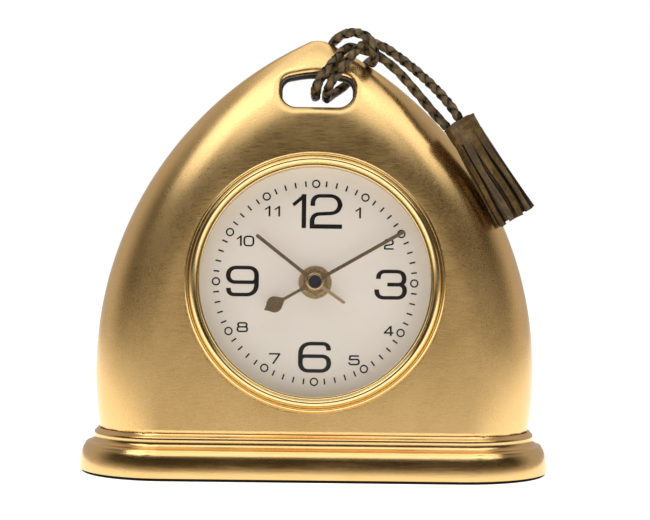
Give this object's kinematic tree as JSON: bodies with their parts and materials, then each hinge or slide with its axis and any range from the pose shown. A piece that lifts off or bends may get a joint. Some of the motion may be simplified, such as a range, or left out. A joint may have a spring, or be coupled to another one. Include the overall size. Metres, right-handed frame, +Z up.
{
  "type": "mantel clock",
  "caption": "Pointed-arch brass mantel clock on a moulded plinth, with a round alarm insert, a carrying slot and a braided cord with a leather tassel.",
  "frame": {"origin": "middle of the underside of the felt pad, where the clock stands", "axes": "+Z up, +X to the viewer's right, the dial faces -Y"},
  "size_m": [0.21, 0.083, 0.198],
  "materials": {
    "case": "brushed satin",
    "bezel": "polished",
    "felt": "felt",
    "steel": "plated",
    "glass": "clear",
    "mount_brass": "spun",
    "dial": "painted off-white",
    "print": "printed",
    "nut": "aged",
    "rubber": "matt",
    "movement": "moulded",
    "wheels": "moulded",
    "board": "laminate",
    "copper": "enamelled wire",
    "hands": "bronzed",
    "alarm_brass": "satin",
    "battery": "printed sleeve",
    "knob": "moulded",
    "switch": "moulded",
    "leather_cord": "braided",
    "leather": "waxed"
  },
  "bodies": {
    "clock": {"case_shell": "case", "plinth": "case", "felt_pad": "felt", "case_screws": "steel", "bezel": "bezel", "crystal": "glass", "rehaut_ring": "bezel", "mounting_ring": "mount_brass", "ring_clips": "steel", "clip_screws": "steel", "dial_plate": "dial", "dial_numerals": "print", "dial_minute_track": "print", "dial_washer": "alarm_brass", "hex_nut": "nut", "threaded_bushing": "nut", "movement_seal": "rubber", "movement_front": "movement", "movement_rear": "movement", "movement_screws": "steel", "middle_plate": "wheels", "circuit_board": "board", "quartz_can": "steel", "motor_coil": "copper", "stator": "steel", "buzzer": "mount_brass", "battery": "battery", "contact_positive": "steel", "contact_negative": "steel", "cord": "leather_cord", "tassel_head": "leather", "tassel_fringe": "leather"},
    "minute": {"minute_arbor": "nut", "minute_hand": "hands", "hand_nut": "alarm_brass"},
    "hour": {"hour_wheel": "wheels", "hour_hand": "hands"},
    "alarm": {"alarm_wheel": "wheels", "alarm_hand": "alarm_brass"},
    "time_setter": {"set_wheel": "wheels", "time_set_knob": "knob"},
    "alarm_setter": {"alarm_pinion": "wheels", "alarm_set_knob": "knob"},
    "centre": {"centre_wheel": "wheels"},
    "third": {"third_wheel": "wheels"},
    "step": {"step_wheel": "wheels"},
    "motor_rotor": {"rotor": "steel"},
    "switch": {"alarm_switch": "switch"}
  },
  "joints": [
    {"name": "minute_hand_turn", "type": "hinge", "parent": "clock", "child": "minute", "pos_m": [0, -0.02338, 0.085], "axis": [0, 0.9969, -0.0785], "continuous": true},
    {"name": "hour_hand_turn", "type": "hinge", "parent": "clock", "child": "hour", "pos_m": [0, -0.02338, 0.085], "axis": [0, 0.9969, -0.0785], "continuous": true},
    {"name": "alarm_hand_turn", "type": "hinge", "parent": "clock", "child": "alarm", "pos_m": [0, -0.02338, 0.085], "axis": [0, 0.9969, -0.0785], "continuous": true},
    {"name": "time_set_turn", "type": "hinge", "parent": "clock", "child": "time_setter", "pos_m": [0.0132, -0.02338, 0.085], "axis": [0, 0.9969, -0.0785], "continuous": true},
    {"name": "alarm_set_turn", "type": "hinge", "parent": "clock", "child": "alarm_setter", "pos_m": [-0.01373, -0.02338, 0.085], "axis": [0, 0.9969, -0.0785], "continuous": true},
    {"name": "centre_wheel_turn", "type": "hinge", "parent": "clock", "child": "centre", "pos_m": [0, -0.02338, 0.085], "axis": [0, 0.9969, -0.0785], "continuous": true},
    {"name": "third_wheel_turn", "type": "hinge", "parent": "clock", "child": "third", "pos_m": [0, -0.0224, 0.09746], "axis": [0, 0.9969, -0.0785], "continuous": true},
    {"name": "step_wheel_turn", "type": "hinge", "parent": "clock", "child": "step", "pos_m": [0.012, -0.02213, 0.10095], "axis": [0, 0.9969, -0.0785], "continuous": true},
    {"name": "rotor_turn", "type": "hinge", "parent": "clock", "child": "motor_rotor", "pos_m": [0.0195, -0.02191, 0.10374], "axis": [0, 0.9969, -0.0785], "continuous": true},
    {"name": "alarm_switch_slide", "type": "slide", "parent": "clock", "child": "switch", "axis": [1, 0, 0], "range_m": [0, 0.0042]}
  ],
  "couplings": [
    {"joint": "hour_hand_turn", "follows": "minute_hand_turn", "ratio": 0.083333},
    {"joint": "time_set_turn", "follows": "minute_hand_turn", "ratio": -0.33333},
    {"joint": "centre_wheel_turn", "follows": "minute_hand_turn", "ratio": 1},
    {"joint": "third_wheel_turn", "follows": "minute_hand_turn", "ratio": -4},
    {"joint": "step_wheel_turn", "follows": "minute_hand_turn", "ratio": 16},
    {"joint": "rotor_turn", "follows": "minute_hand_turn", "ratio": -48},
    {"joint": "alarm_set_turn", "follows": "alarm_hand_turn", "ratio": -3.3333}
  ]
}
